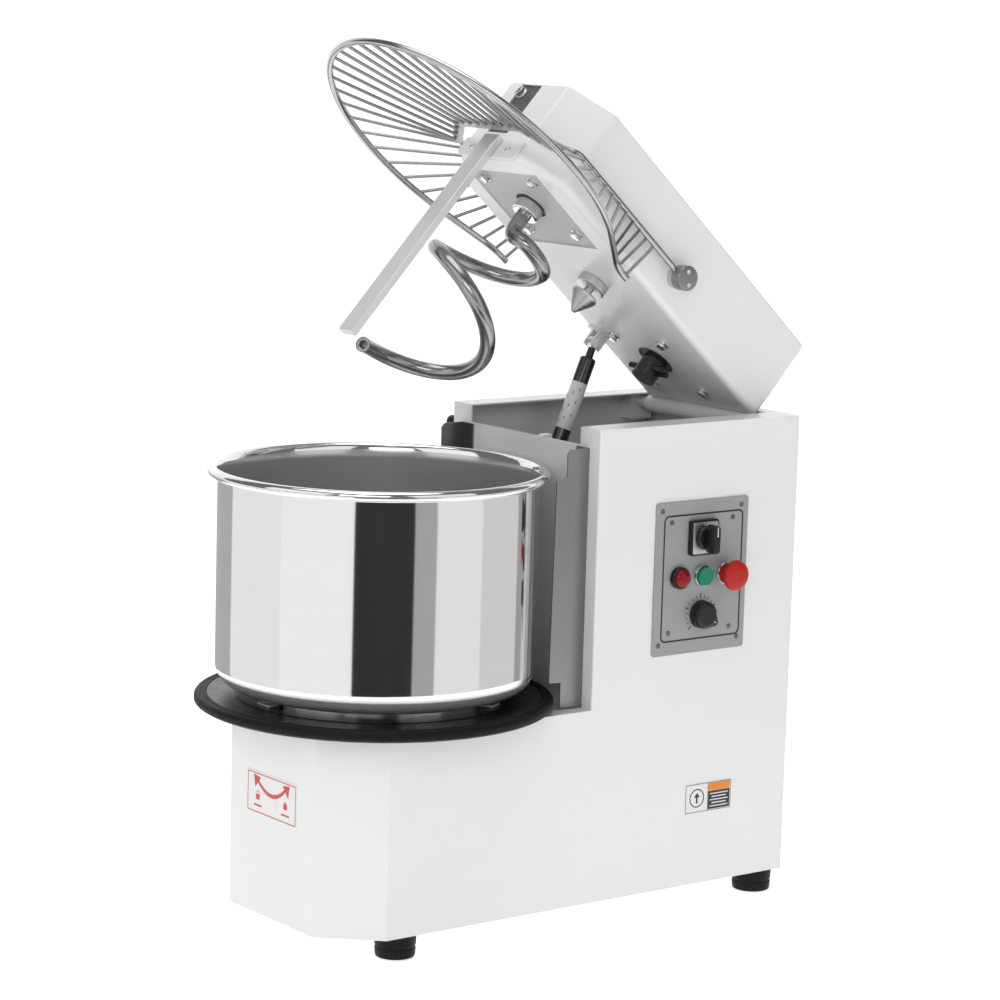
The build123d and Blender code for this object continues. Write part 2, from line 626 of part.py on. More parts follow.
def build_controls():
    build_control_plate()

    bezel = block((plate_x, plate_x + 8), (switch_y - 23, switch_y + 23), (switch_z - 23, switch_z + 23))
    bezel = fillet(bezel.edges().filter_by(Axis.X), 3)
    bezel -= along_x((plate_x - 1, plate_x + 9), switch_y, switch_z, 4 + slack)
    add("mode_switch_bezel", bezel)
    front = plate_x + 8.5
    skirt = along_x((front, front + 6), switch_y, switch_z, 16)
    handle = block((front + 6, front + 24), (switch_y - 6, switch_y + 6), (switch_z - 19, switch_z + 19))
    spindle = along_x((148, front), switch_y, switch_z, 4)
    add("mode_switch_knob", skirt + fillet(handle.edges().filter_by(Axis.X), 4) + spindle)

    add("control_collars", group([collar(lamp_y, 14.5, 12.5, 8), collar(control_y, 14.5, 12.5, 6),
                                  collar(stop_y, 15, 9 + slack, 6)]))
    add("power_lamp", knob_profile(plate_x, [(0, 0), (12.5, 0), (12.5, 11), (8, 14.5), (0, 15.5)], lamp_y, control_z))
    cap = knob_profile(plate_x + 3.6, [(0, 0), (12.2, 0), (12.2, 7), (11, 8.4), (0, 8.4)], control_y, control_z)
    add("start_button", cap + along_x((148, plate_x + 3.6), control_y, control_z, 5))
    mushroom = [(0, 0), (9, 0), (9, 7), (20, 9), (20, 16), (17, 19.5), (0, 21.5)]
    stop = knob_profile(plate_x + 10.5, mushroom, stop_y, control_z)
    add("stop_button", stop + along_x((148, plate_x + 10.5), stop_y, control_z, 9))

    speed = [(0, 0), (18.5, 0), (18.5, 3), (16, 4), (15, 16), (0, 16)]
    dial = knob_profile(plate_x + 0.5, speed, control_y, speed_z)
    pointer_reach = 23.0
    pointer_turn = -123.0
    pointer = block((plate_x + 0.5, plate_x + 3.5), (control_y - 2, control_y + 2),
                    (speed_z, speed_z + pointer_reach))
    dial += pointer.rotate(Axis((0, control_y, speed_z), (1, 0, 0)), pointer_turn)
    add("speed_knob", dial + along_x((148, plate_x + 0.5), control_y, speed_z, 3))

    rear = [block((112, 143), (y - 17, y + 17), (z - 17, z + 17))
            for y, z in [(switch_y, switch_z), (lamp_y, control_z), (control_y, control_z),
                         (stop_y, control_z), (control_y, speed_z)]]
    rail = block((108, 112), (control_y - 62, control_y + 62), (control_z - 70, control_z + 70))
    stays = [block((108, inner_half), (y, y + 4), (control_z - 8, control_z + 8))
             for y in (control_y - 66, control_y + 62)]
    add("switch_blocks", group(rear + [rail + stays[0] + stays[1]]))


def build_labels():
    thin = 0.4
    front = block((-57, 56), (base_front_y - thin, base_front_y), (157.5, 213))
    side = block((body_half, body_half + thin), (390, 469.5), (126, 165.5))
    add("labels", group([front, side]))


def build_all():
    build_casing()
    build_gland()
    build_fins()
    build_bowl()
    build_turntable()
    build_motor()
    build_drive_shaft()
    build_hinge()
    build_latch()
    build_strut()
    build_head_casing()
    build_lock_pin()
    build_breaker()
    build_spiral()
    build_head_clutch()
    build_guard()
    build_controls()
    build_labels()


def write_parts():
    """Move every part so that the origin is the bottom centre, and write it."""
    boxes = [part.bounding_box() for part in parts.values()]
    middle_x = (min(box.min.X for box in boxes) + max(box.max.X for box in boxes)) / 2
    middle_y = (min(box.min.Y for box in boxes) + max(box.max.Y for box in boxes)) / 2
    bottom = min(box.min.Z for box in boxes)
    os.makedirs("parts", exist_ok=True)
    for name, part in parts.items():
        export_step(Pos(-middle_x, -middle_y, -bottom) * part, f"parts/{name}.step")
    print(f"{len(parts)} parts, moved by {-middle_x:.3f}, {-middle_y:.3f}, {-bottom:.3f}")


build_all()
write_parts()
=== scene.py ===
import json
import math

import bmesh
import bpy
from mathutils import Matrix, Vector


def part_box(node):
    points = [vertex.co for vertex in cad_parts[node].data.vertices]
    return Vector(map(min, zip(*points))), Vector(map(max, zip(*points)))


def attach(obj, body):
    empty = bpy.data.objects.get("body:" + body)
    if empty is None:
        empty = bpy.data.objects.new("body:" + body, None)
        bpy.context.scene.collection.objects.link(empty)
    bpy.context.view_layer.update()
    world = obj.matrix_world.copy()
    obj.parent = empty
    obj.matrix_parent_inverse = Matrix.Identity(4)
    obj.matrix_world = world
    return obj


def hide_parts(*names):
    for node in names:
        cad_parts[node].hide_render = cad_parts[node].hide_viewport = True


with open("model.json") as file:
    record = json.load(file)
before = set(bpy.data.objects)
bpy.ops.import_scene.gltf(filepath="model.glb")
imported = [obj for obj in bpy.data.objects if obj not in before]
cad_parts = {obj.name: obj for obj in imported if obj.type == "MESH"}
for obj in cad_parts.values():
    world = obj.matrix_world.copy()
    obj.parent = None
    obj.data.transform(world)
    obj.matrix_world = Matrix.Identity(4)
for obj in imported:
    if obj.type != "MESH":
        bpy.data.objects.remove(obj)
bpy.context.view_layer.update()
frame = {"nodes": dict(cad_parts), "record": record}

# Spiral dough mixer, in metres. Places on the head are given as (x, forward of the hinge, above the
# hinge) with the head lowered, and HEAD turns them to where the head stands at rest.

mm = 0.001
joints = {joint["name"]: joint for joint in frame["record"]["behaviour"]["joints"]}
bowl_low, bowl_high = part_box("bowl")
panel_low, panel_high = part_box("side_panel_right")
BOWL_Y = (bowl_low.y + bowl_high.y) / 2
SIDE_X = panel_high.x
TILT = math.radians(joints["head_tilt"]["range_deg"][1])
HINGE = Vector(joints["head_tilt"]["pos_m"])
FORWARD = Matrix.Diagonal((1, -1, 1, 1))
HEAD = Matrix.Translation(HINGE) @ Matrix.Rotation(-TILT, 4, "X")


def on_head(x, forward, up):
    """Point of the raised head, from its place in millimetres with the head lowered."""
    return HEAD @ Vector((x * mm, -forward * mm, up * mm))


def from_bowl(x, y, z):
    """Point given in millimetres from the bowl's axis and the floor."""
    return Vector((x * mm, BOWL_Y + y * mm, z * mm))


def facing(place, direction, turn=0.0):
    """Matrix whose local Z points along a direction, at a place."""
    return Matrix.Translation(place) @ Vector(direction).to_track_quat("Z", "Y").to_matrix().to_4x4() \
        @ Matrix.Rotation(turn, 4, "Z")


# --- Materials ----------------------------------------------------------------------------------
def surface(name, colour, tint, metallic=0.0, roughness=(0.3, 0.4), grain=(12, 12, 12), fine=(900, 900, 900),
            bump=0.05, coat=0.0, specular=0.5):
    """Material whose colour and gloss wander with a broad grain, with a fine grain in its relief."""
    made = bpy.data.materials.new(name)
    made.use_nodes = True
    nodes, links = made.node_tree.nodes, made.node_tree.links
    shader = nodes["Principled BSDF"]
    shader.inputs["Metallic"].default_value = metallic
    shader.inputs["Coat Weight"].default_value = coat
    shader.inputs["Specular IOR Level"].default_value = specular
    where = nodes.new("ShaderNodeTexCoord")

    def noise(scale, detail):
        stretch = nodes.new("ShaderNodeMapping")
        stretch.inputs["Scale"].default_value = scale
        links.new(where.outputs["Object"], stretch.inputs["Vector"])
        grain_node = nodes.new("ShaderNodeTexNoise")
        grain_node.inputs["Scale"].default_value = 1.0
        grain_node.inputs["Detail"].default_value = detail
        links.new(stretch.outputs["Vector"], grain_node.inputs["Vector"])
        return grain_node

    broad = noise(grain, 2.0)
    small = noise(fine, 2.0)
    blend = nodes.new("ShaderNodeMix")
    blend.data_type = "RGBA"
    blend.inputs["A"].default_value = (*colour, 1.0)
    blend.inputs["B"].default_value = (*tint, 1.0)
    share = nodes.new("ShaderNodeMath")
    share.operation = "MULTIPLY"
    share.inputs[1].default_value = 1.0
    share.use_clamp = True
    links.new(broad.outputs["Fac"], share.inputs[0])
    links.new(share.outputs["Value"], blend.inputs["Factor"])
    links.new(blend.outputs["Result"], shader.inputs["Base Color"])
    gloss = nodes.new("ShaderNodeMapRange")
    gloss.inputs["From Min"].default_value = 0.15
    gloss.inputs["From Max"].default_value = 0.85
    gloss.inputs["To Min"].default_value = roughness[0]
    gloss.inputs["To Max"].default_value = roughness[1]
    links.new((small if metallic else broad).outputs["Fac"], gloss.inputs["Value"])
    links.new(gloss.outputs["Result"], shader.inputs["Roughness"])
    relief = nodes.new("ShaderNodeBump")
    relief.inputs["Strength"].default_value = bump
    relief.inputs["Distance"].default_value = 0.0005
    links.new(small.outputs["Fac"], relief.inputs["Height"])
    links.new(relief.outputs["Normal"], shader.inputs["Normal"])
    return made


def make_materials():
    """Every finish on the machine. A brushed one has its grain stretched along the brushing."""
    return {
        "white": surface("white_powder_coat", (0.80, 0.80, 0.80), (0.785, 0.785, 0.79), roughness=(0.27, 0.34),
                         grain=(4, 4, 4), fine=(650, 650, 650), bump=0.07, coat=0.2),
        "grey": surface("grey_paint", (0.50, 0.51, 0.52), (0.44, 0.45, 0.46), roughness=(0.35, 0.45),
                        grain=(15, 15, 15), bump=0.1),
        "mirror": surface("polished_bowl_steel", (0.80, 0.80, 0.80), (0.76, 0.76, 0.765), 1.0, (0.05, 0.085),
                          (3, 3, 40), (4, 4, 1600), 0.015),
        "inside": surface("bowl_inside_steel", (0.66, 0.655, 0.645), (0.60, 0.60, 0.59), 0.78, (0.16, 0.26),
                          (3, 3, 40), (4, 4, 1600), 0.02),
        "polished": surface("polished_steel_bar", (0.50, 0.50, 0.495), (0.40, 0.40, 0.40), 1.0, (0.13, 0.22),
                            (30, 30, 30), (500, 500, 500), 0.04),
        "satin_dark": surface("satin_steel_bar", (0.37, 0.365, 0.355), (0.33, 0.325, 0.32), 1.0, (0.18, 0.25),
                              (12, 12, 12), (700, 700, 700), 0.02),
        "satin": surface("satin_steel_flat", (0.84, 0.84, 0.83), (0.78, 0.78, 0.775), 1.0, (0.30, 0.42),
                         (30, 30, 30), (900, 900, 900), 0.06),
        "brushed": surface("brushed_steel", (0.66, 0.655, 0.645), (0.58, 0.58, 0.575), 1.0, (0.20, 0.34),
                           (14, 14, 90), (60, 60, 2600), 0.06),
        "brushed_long": surface("brushed_steel_sheet", (0.60, 0.60, 0.59), (0.52, 0.52, 0.52), 1.0, (0.22, 0.36),
                                (14, 14, 3), (1800, 1800, 18), 0.06),
        "plated": surface("plated_steel", (0.80, 0.80, 0.79), (0.68, 0.68, 0.67), 1.0, (0.09, 0.20),
                          (120, 120, 120), (1500, 1500, 1500), 0.05),
        # Brushed steel of the fins and hub caps, darkened below the other brushed steel: the dark colour is a painted
        # reflection of dark surroundings.
        "fin": surface("dark_brushed_sheet", (0.32, 0.32, 0.315), (0.24, 0.24, 0.24), 1.0, (0.24, 0.38),
                       (10, 10, 2.5), (1800, 1800, 18), 0.06),
        "turned": surface("turned_steel", (0.68, 0.675, 0.66), (0.60, 0.60, 0.59), 1.0, (0.30, 0.44),
                          (50, 50, 50), (1200, 1200, 1200), 0.08),
        "iron": surface("machined_iron", (0.20, 0.20, 0.205), (0.13, 0.13, 0.135), 0.9, (0.35, 0.5),
                        (40, 40, 40), (700, 700, 700), 0.15),
        "chain": surface("oiled_chain_steel", (0.22, 0.21, 0.20), (0.10, 0.095, 0.09), 0.9, (0.25, 0.45),
                         (160, 160, 160), (600, 600, 600), 0.2),
        "rubber": surface("black_rubber", (0.005, 0.005, 0.005), (0.010, 0.010, 0.010), roughness=(0.42, 0.56),
                          grain=(40, 40, 40), fine=(1400, 1400, 1400), bump=0.16, specular=0.14),
        "plastic": surface("black_plastic", (0.008, 0.008, 0.008), (0.014, 0.014, 0.014), roughness=(0.24, 0.36),
                           grain=(60, 60, 60), fine=(1600, 1600, 1600), bump=0.06, specular=0.35),
        "black_paint": surface("black_paint", (0.012, 0.012, 0.013), (0.02, 0.02, 0.021), roughness=(0.16, 0.26),
                               grain=(50, 50, 50), bump=0.05, coat=0.4),
        "panel": surface("grey_panel", (0.33, 0.335, 0.342), (0.30, 0.305, 0.312), roughness=(0.32, 0.42),
                         grain=(25, 25, 25), fine=(1200, 1200, 1200), bump=0.05),
        "line": surface("black_print", (0.012, 0.012, 0.012), (0.02, 0.02, 0.02), roughness=(0.35, 0.45),
                        grain=(80, 80, 80)),
        # Dark strip on the head's front: its dark colour is a painted reflection of the dark surroundings.
        "strip": surface("dark_strip", (0.10, 0.10, 0.105), (0.07, 0.07, 0.072), roughness=(0.45, 0.6),
                         grain=(60, 60, 60), bump=0.1),
        "red": surface("red_plastic", (0.50, 0.018, 0.014), (0.42, 0.014, 0.012), roughness=(0.28, 0.38),
                       grain=(70, 70, 70), bump=0.05, specular=0.25),
        "lens": surface("red_lens", (0.28, 0.001, 0.008), (0.18, 0.001, 0.005), roughness=(0.12, 0.2),
                        grain=(90, 90, 90), fine=(500, 500, 500), bump=0.1, specular=0.35),
        "green": surface("green_plastic", (0.012, 0.24, 0.14), (0.01, 0.20, 0.115), roughness=(0.28, 0.38),
                         grain=(70, 70, 70), bump=0.05, specular=0.3),
        "film": surface("white_label_film", (0.80, 0.80, 0.79), (0.76, 0.76, 0.75), roughness=(0.25, 0.35),
                        grain=(40, 40, 40), bump=0.03),
        "red_ink": surface("red_ink", (0.62, 0.04, 0.03), (0.55, 0.035, 0.03), roughness=(0.3, 0.4),
                           grain=(60, 60, 60), bump=0.03),
        "orange_ink": surface("orange_ink", (0.80, 0.25, 0.01), (0.74, 0.22, 0.01), roughness=(0.3, 0.4),
                              grain=(60, 60, 60), bump=0.03),
        "white_ink": surface("white_ink", (0.78, 0.78, 0.78), (0.72, 0.72, 0.72), roughness=(0.3, 0.4),
                             grain=(60, 60, 60), bump=0.03),
    }


finish = make_materials()


# --- Mesh helpers -------------------------------------------------------------------------------
def keep(obj, body, material, replaces=()):
    """Give a piece its material and the body it rides on."""
    obj.data.materials.clear()
    obj.data.materials.append(finish[material])
    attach(obj, body)
    if replaces:
        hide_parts(*replaces)
    return obj


def object_from(name, mesh, sharp=35):
    """Object from a bmesh, smooth except at edges sharper than the angle."""
    bmesh.ops.recalc_face_normals(mesh, faces=mesh.faces)
    for face in mesh.faces:
        face.smooth = True
    for edge in mesh.edges:
        edge.smooth = len(edge.link_faces) == 2 and edge.calc_face_angle(0) < math.radians(sharp)
    data = bpy.data.meshes.new(name)
    mesh.to_mesh(data)
    mesh.free()
    made = bpy.data.objects.new(name, data)
    bpy.context.collection.objects.link(made)
    return made


def eased(points, radius, steps=4):
    """Outline with every inner corner rounded, as far as its neighbours leave room."""
    points = [Vector(point) for point in points]
    result = [points[0]]
    for before, corner, after in zip(points, points[1:], points[2:]):
        reach = min(radius, (before - corner).length * 0.49, (after - corner).length * 0.49)
        start = corner + (before - corner).normalized() * reach
        end = corner + (after - corner).normalized() * reach
        for step in range(steps + 1):
            share = step / steps
            result.append(start * (1 - share) ** 2 + corner * 2 * share * (1 - share) + end * share ** 2)
    return result + [points[-1]]


def lathe(name, outline, place, round_by=0.6, segments=96):
    """Turned solid: (radius, height) points in millimetres round the place's local Z axis."""
    points = eased(outline, round_by) if round_by else [Vector(point) for point in outline]
    mesh = bmesh.new()
    rings = []
    for point in points:
        if point.x < 0.001:
            rings.append([mesh.verts.new(place @ Vector((0, 0, point.y * mm)))])
            continue
        ring = []
        for step in range(segments):
            angle = step * math.tau / segments
            local = Vector((point.x * math.cos(angle), point.x * math.sin(angle), point.y)) * mm
            ring.append(mesh.verts.new(place @ local))
        rings.append(ring)
    for low, high in zip(rings, rings[1:]):
        for step in range(segments):
            after = (step + 1) % segments
            corners = [low[step % len(low)], low[after % len(low)], high[after % len(high)], high[step % len(high)]]
            face = list(dict.fromkeys(corners))
            if len(face) > 2:
                mesh.faces.new(face)
    if len(rings[0]) > 1 and len(rings[-1]) > 1 and (points[0] - points[-1]).length > 0.01:
        for step in range(segments):
            after = (step + 1) % segments
            mesh.faces.new([rings[-1][step], rings[-1][after], rings[0][after], rings[0][step]])
    bmesh.ops.remove_doubles(mesh, verts=mesh.verts, dist=1e-7)
    return object_from(name, mesh)


def plate(name, outline, thick, place, bevel=0.3, holes=()):
    """Flat solid from an outline in millimetres in the place's local XY, with rounded edges."""
    mesh = bmesh.new()
    bottom = [mesh.verts.new(place @ Vector((x * mm, y * mm, 0))) for x, y in outline]
    top = [mesh.verts.new(place @ Vector((x * mm, y * mm, thick * mm))) for x, y in outline]
    mesh.faces.new(bottom)
    mesh.faces.new(top)
    for step in range(len(outline)):
        after = (step + 1) % len(outline)
        mesh.faces.new([bottom[step], bottom[after], top[after], top[step]])
    bmesh.ops.recalc_face_normals(mesh, faces=mesh.faces)
    if bevel:
        edges = [edge for edge in mesh.edges if edge.calc_face_angle(0) > math.radians(30)]
        bmesh.ops.bevel(mesh, geom=edges, offset=bevel * mm, segments=3, profile=0.5, affect="EDGES",
                        clamp_overlap=True)
    return object_from(name, mesh)


def band(name, outer, inner, thick, place):
    """Flat closed band between two outlines with the same number of points."""
    mesh = bmesh.new()
    loops = [[mesh.verts.new(place @ Vector((x * mm, y * mm, z * mm))) for x, y in loop]
             for loop, z in ((outer, 0), (outer, thick), (inner, thick), (inner, 0))]
    for first, second in zip(loops, loops[1:] + loops[:1]):
        for step in range(len(outer)):
            after = (step + 1) % len(outer)
            mesh.faces.new([first[step], first[after], second[after], second[step]])
    return object_from(name, mesh)


def rounded_box(half_x, half_y, radius, steps=6):
    """Outline of a rectangle with round corners."""
    points = []
    for quarter, (sign_x, sign_y) in enumerate([(1, 1), (-1, 1), (-1, -1), (1, -1)]):
        for step in range(steps + 1):
            angle = (quarter + step / steps) * math.pi / 2
            points.append((sign_x * (half_x - radius) + radius * math.cos(angle),
                           sign_y * (half_y - radius) + radius * math.sin(angle)))
    return points


def circle(radius, count=48, centre=(0, 0)):
    return [(centre[0] + radius * math.cos(step * math.tau / count),
             centre[1] + radius * math.sin(step * math.tau / count)) for step in range(count)]


def bars(name, runs, radius, smooth=False, resolution=6):
    """Round bars along lists of points, as one curve object."""
    curve = bpy.data.curves.new(name, "CURVE")
    curve.dimensions = "3D"
    curve.bevel_depth = radius * mm
    curve.bevel_resolution = resolution
    curve.use_fill_caps = True
    curve.resolution_u = 16
    for run in runs:
        spline = curve.splines.new("NURBS" if smooth else "POLY")
        spline.points.add(len(run) - 1)
        for point, place in zip(spline.points, run):
            point.co = (*place, 1.0)
        if smooth:
            spline.order_u = 3
            spline.use_endpoint_u = True
    made = bpy.data.objects.new(name, curve)
    bpy.context.collection.objects.link(made)
    return made


def hexagon(name, place, across=13.0, height=6.0, washer=0.0):
    """Hexagon bolt head with its chamfered top, on an optional washer."""
    radius = across / 2 / math.cos(math.pi / 6)
    outline = [(radius * math.cos(step * math.pi / 3), radius * math.sin(step * math.pi / 3)) for step in range(6)]
    head = plate(name, outline, height, place @ Matrix.Translation((0, 0, washer * mm)), bevel=0.7)
    return head


def joined(name, members):
    """One object from several mesh objects."""
    bpy.ops.object.select_all(action="DESELECT")
    for member in members:
        member.select_set(True)
    bpy.context.view_layer.objects.active = members[0]
    bpy.ops.object.join()
    members[0].name = name
    return members[0]


def paint_nodes():
    """Finishes of the CAD nodes that stay in view or inside the casing."""
    by_finish = {
        "white": ["side_panel_right", "side_panel_left", "base_cover", "base_floor_plate", "column_front_panel",
                  "column_back_panel", "hinge_shaft", "latch_shelf", "strut_bracket", "head_shell",
                  "breaker_bracket", "strut_clevis"],
        "grey": ["gear_motor", "speed_controller", "gear_plate"],
        # The fins' dark colour is a painted reflection.
        "fin": ["bowl_fins"],
        "brushed_long": ["guard_front_plate"],
        "brushed": ["drive_shaft", "latch_shaft"],
        "satin": ["breaker_bar"],
        "turned": ["guard_pivots", "strut_rod"],
        "iron": ["shaft_bearings", "drive_pulleys", "turntable_pulley", "motor_pulley", "head_bearings"],
        "chain": ["drive_chain"],
        "rubber": ["drive_belts"],
        "plastic": ["cable_gland", "switch_blocks"],
        # front_strip is coloured dark as a painted reflection of the dark surroundings.
        "strip": ["front_strip"],
        "black_paint": ["head_clutch_half", "clutch_cross_pins"],
        "panel": ["control_plate"],
        "film": ["labels"],
    }
    for material, names in by_finish.items():
        for name in names:
            node = frame["nodes"][name]
            node.data.materials.clear()
            node.data.materials.append(finish[material])


# --- Bowl and turntable -------------------------------------------------------------------------
def make_bowl():
    radius, wall, low, rim_z = 202.0, 2.0, 314.6, 586.0
    corner = 28.0

    def bend(reach, bottom, count=14):
        """Rounded corner from the wall to the flat bottom."""
        points = []
        for step in range(count + 1):
            angle = step / count * math.pi / 2
            points.append((reach - corner + corner * math.cos(angle) if count else 0,
                           bottom + corner - corner * math.sin(angle)))
        return points

    bead, bead_at = 6.5, radius + 6.0
    outside = [(0, low), (146, low), (146, low - 10.6), (150, low - 10.6), (150, low)]
    outside += bend(radius, low)[::-1]
    wall_steps = (30, 60, 150, 240, 258)
    outside += [(radius, low + step) for step in wall_steps]
    for step in range(25):
        angle = math.radians(215 + step * 12.5)
        outside.append((bead_at + bead * math.cos(angle), rim_z + bead * math.sin(angle)))
    inside = [(radius - wall, rim_z - 2)]
    inside += [(radius - wall, low + step) for step in wall_steps[::-1]]
    inside += [(x - wall, y + wall) for x, y in bend(radius, low)]
    inside += [(0, low + wall)]
    place = Matrix.Translation(from_bowl(0, 0, 0))
    bowl = lathe("bowl_shell", outside + inside, place, round_by=0, segments=256)
    keep(bowl, "turntable", "mirror", ["bowl"])
    bowl.data.materials.append(finish["inside"])
    for face in bowl.data.polygons:
        reach = math.hypot(face.center.x, face.center.y - BOWL_Y) / mm
        if reach < radius - wall / 2 and face.center.z / mm > low + wall / 2:
            face.material_index = 1


def make_turntable():
    place = Matrix.Translation(from_bowl(0, 0, 0))
    outline = [(211, 291), (212, 289.2), (221, 289.2), (227.2, 293), (227.3, 300), (224, 303.6), (219.5, 304),
               (218, 302.6), (216, 302.6), (214.5, 303.9), (212.5, 303.9), (211, 302)]
    ring = lathe("tray_edge_ring", outline, place, round_by=2.0, segments=192)
    keep(ring, "turntable", "rubber", ["tray_ring"])
    disc = [(0, 303.9), (60, 303.9), (100, 303.9), (140, 303.9), (178, 303.9), (180, 303.2), (208, 303.2),
            (211.2, 303.2), (211.2, 300.1), (60, 300.1), (60, 291.2), (20.5, 291.2), (20.5, 300.1), (0, 300.1)]
    top = lathe("tray_disc", disc, place, round_by=0.4, segments=160)
    keep(top, "turntable", "plastic", ["tray_plate"])
    lugs = []
    for turn in range(3):
        angle = math.radians(30 + 120 * turn)
        spot = place @ Matrix.Rotation(angle, 4, "Z") @ Matrix.Translation((153.5 * mm, 0, 304 * mm))
        lugs.append(plate(f"lug_{turn}", rounded_box(1.5, 14, 1), 8, spot, 0.4))
        base = spot @ Matrix.Translation((6.5 * mm, 0, 0))
        lugs.append(plate(f"lug_base_{turn}", rounded_box(8, 14, 3), 3, base, 0.4))
    keep(joined("bowl_lock_lugs", lugs), "turntable", "turned")


# --- Base details -------------------------------------------------------------------------------
def make_feet():
    feet = []
    outline = [(0, 0.3), (21, 0.3), (24.4, 0.8), (25.4, 4), (25.9, 12), (24.9, 13), (24.9, 15), (26, 16),
               (26.8, 30), (0, 30)]
    for number, (x, y) in enumerate([(x, y) for x in (-128, 128) for y in (-50, 536)]):
        feet.append(lathe(f"foot_{number}", outline, Matrix.Translation(from_bowl(x, y, 0)), 0.8, 64))
    keep(joined("round_feet", feet), "frame", "rubber", ["rubber_feet"])


def make_case_details():
    """Blanking plugs and back panel screws."""
    out = 1 if SIDE_X > 0 else -1
    plugs = []
    for side in (-out, out):
        place = facing(from_bowl(155.6 * side, 548, 634), (side, 0, 0))
        outline = [(0, 0.5), (2.5, 0.7), (3.6, 0.3), (4.4, 0.9), (5.2, 0.6), (5.4, 0)]
        plugs.append(lathe(f"plug_{side}", outline, place, 0.2, 48))
    keep(joined("hole_plugs", plugs), "frame", "white")
    screws = []
    for x in (-130, 130):
        for z in (60, 335, 610):
            place = facing(from_bowl(x, 563.6, z), (0, 1, 0))
            screws.append(lathe(f"back_{x}_{z}", [(0, 2.0), (1.6, 2.0), (2.2, 2.6), (4.6, 1.6), (5, 0)], place, 0.3, 32))
    keep(joined("back_panel_screws", screws), "frame", "plated")


def make_latch_knob():
    place = facing(from_bowl(-155.6, 236, 614), (-1, 0, 0))
    grip = lathe("knob_core", [(0, 17.3), (5.5, 17.3), (7.8, 15.5), (8.3, 13), (8.3, 3), (7.2, 2.1), (0, 2.1)], place, 0.8, 64)
    ribs = []
    for step in range(16):
        turn = place @ Matrix.Rotation(step * math.tau / 16, 4, "Z") @ Matrix.Translation((8.0 * mm, 0, 4 * mm))
        ribs.append(plate(f"rib_{step}", rounded_box(0.5, 0.7, 0.3, 2), 9.5, turn, 0.2))
    keep(joined("latch_grip", [grip] + ribs), "latch", "plastic", ["latch_knob"])
    hook = [(113, 231.8, 590), (113, 231.8, 630), (113, 233.0, 637), (113, 237.0, 641.5), (113, 241.5, 641.0),
            (113, 246.5, 636.8)]
    wire = bars("wire_hanger", [[from_bowl(*point) for point in hook]], 1.5, smooth=True)
    keep(wire, "frame", "plated", ["wire_hook"])


# --- Controls -----------------------------------------------------------------------------------
PLATE_X = 157.6
CONTROL_Y, CONTROL_Z = 402.0, 444.0
PITCH = 38.6


def on_panel(y, z, out=0.0):
    """Place on the control plate's face, local Z pointing away from the machine and local Y up."""
    spot = from_bowl(PLATE_X + out, y, z)
    return Matrix.Translation(spot) @ Matrix(((0, 0, 1, 0), (1, 0, 0, 0), (0, 1, 0, 0), (0, 0, 0, 1)))


def make_panel_marks():
    """Black line round the panel, and the tick ring round the speed knob."""
    line = band("panel_line", rounded_box(67, 83, 8), rounded_box(64.7, 80.7, 6.0), 0.15, on_panel(403, 443))
    ticks = []
    for step in range(17):
        angle = math.radians(-45 + 16.9 * step)
        long = step % 4 == 0
        length = 6.0 if long else 3.4
        spot = on_panel(CONTROL_Y, CONTROL_Z - 51) @ Matrix.Rotation(angle, 4, "Z") \
            @ Matrix.Translation(((21.5 + length / 2) * mm, 0, 0))
        ticks.append(plate(f"tick_{step}", rounded_box(length / 2, 0.75 if long else 0.5, 0.2, 2), 0.15, spot, 0))
    keep(joined("panel_print", [line] + ticks), "frame", "line")


def make_panel_screws():
    screws = []
    inner = [(-53, -72), (50, -72), (-53, 72.5), (50, 72.5)]
    outer = [(-69, -87), (64, -87), (-69, 88), (64, 88)]
    for number, (y, z) in enumerate(inner + outer):
        place = on_panel(CONTROL_Y + y, CONTROL_Z + z)
        head = [(0, 0.9), (1.1, 0.9), (1.6, 1.5), (2.6, 1.3), (3.3, 0.5), (3.4, 0)]
        screws.append(lathe(f"panel_screw_{number}", head, place, 0.25, 32))
    keep(joined("panel_screws", screws), "frame", "iron", ["control_plate_screws"])


def make_mode_switch():
    y, z = CONTROL_Y - 2, CONTROL_Z + 50.5
    bezel = plate("switch_bezel", rounded_box(23, 23, 3.5), 7.2, on_panel(y, z), 0.8)
    keep(bezel, "frame", "plastic", ["mode_switch_bezel"])
    face = plate("switch_face", rounded_box(20.6, 20.6, 2.2), 0.8, on_panel(y, z, 7.15), 0.2)
    keep(face, "frame", "brushed_long")
    marks = []
    for angle in (-60, 0, 60):
        spot = on_panel(y, z, 7.95) @ Matrix.Rotation(math.radians(angle), 4, "Z") @ Matrix.Translation((0, 18.4 * mm, 0))
        marks.append(plate(f"mark_{angle}", rounded_box(0.5, 1.7, 0.3, 2), 0.1, spot, 0))
    keep(joined("switch_marks", marks), "frame", "line")
    skirt = lathe("switch_skirt", [(0, 14), (13.8, 14), (15.8, 11), (16, 8.6), (0, 8.6)], on_panel(y, z), 1.4, 72)
    grip_outline = [(x, high) for x, high in rounded_box(5.6, 18.6, 5.2, 8)]
    grip = plate("switch_grip", grip_outline, 18.5, on_panel(y, z, 13.5), 2.2)
    index = plate("switch_index", rounded_box(0.7, 6.5, 0.4, 2), 0.25, on_panel(y, z + 10.5, 31.9), 0)
    keep(joined("switch_handle", [skirt, grip]), "mode_switch", "plastic", ["mode_switch_knob"])
    keep(index, "mode_switch", "white_ink")


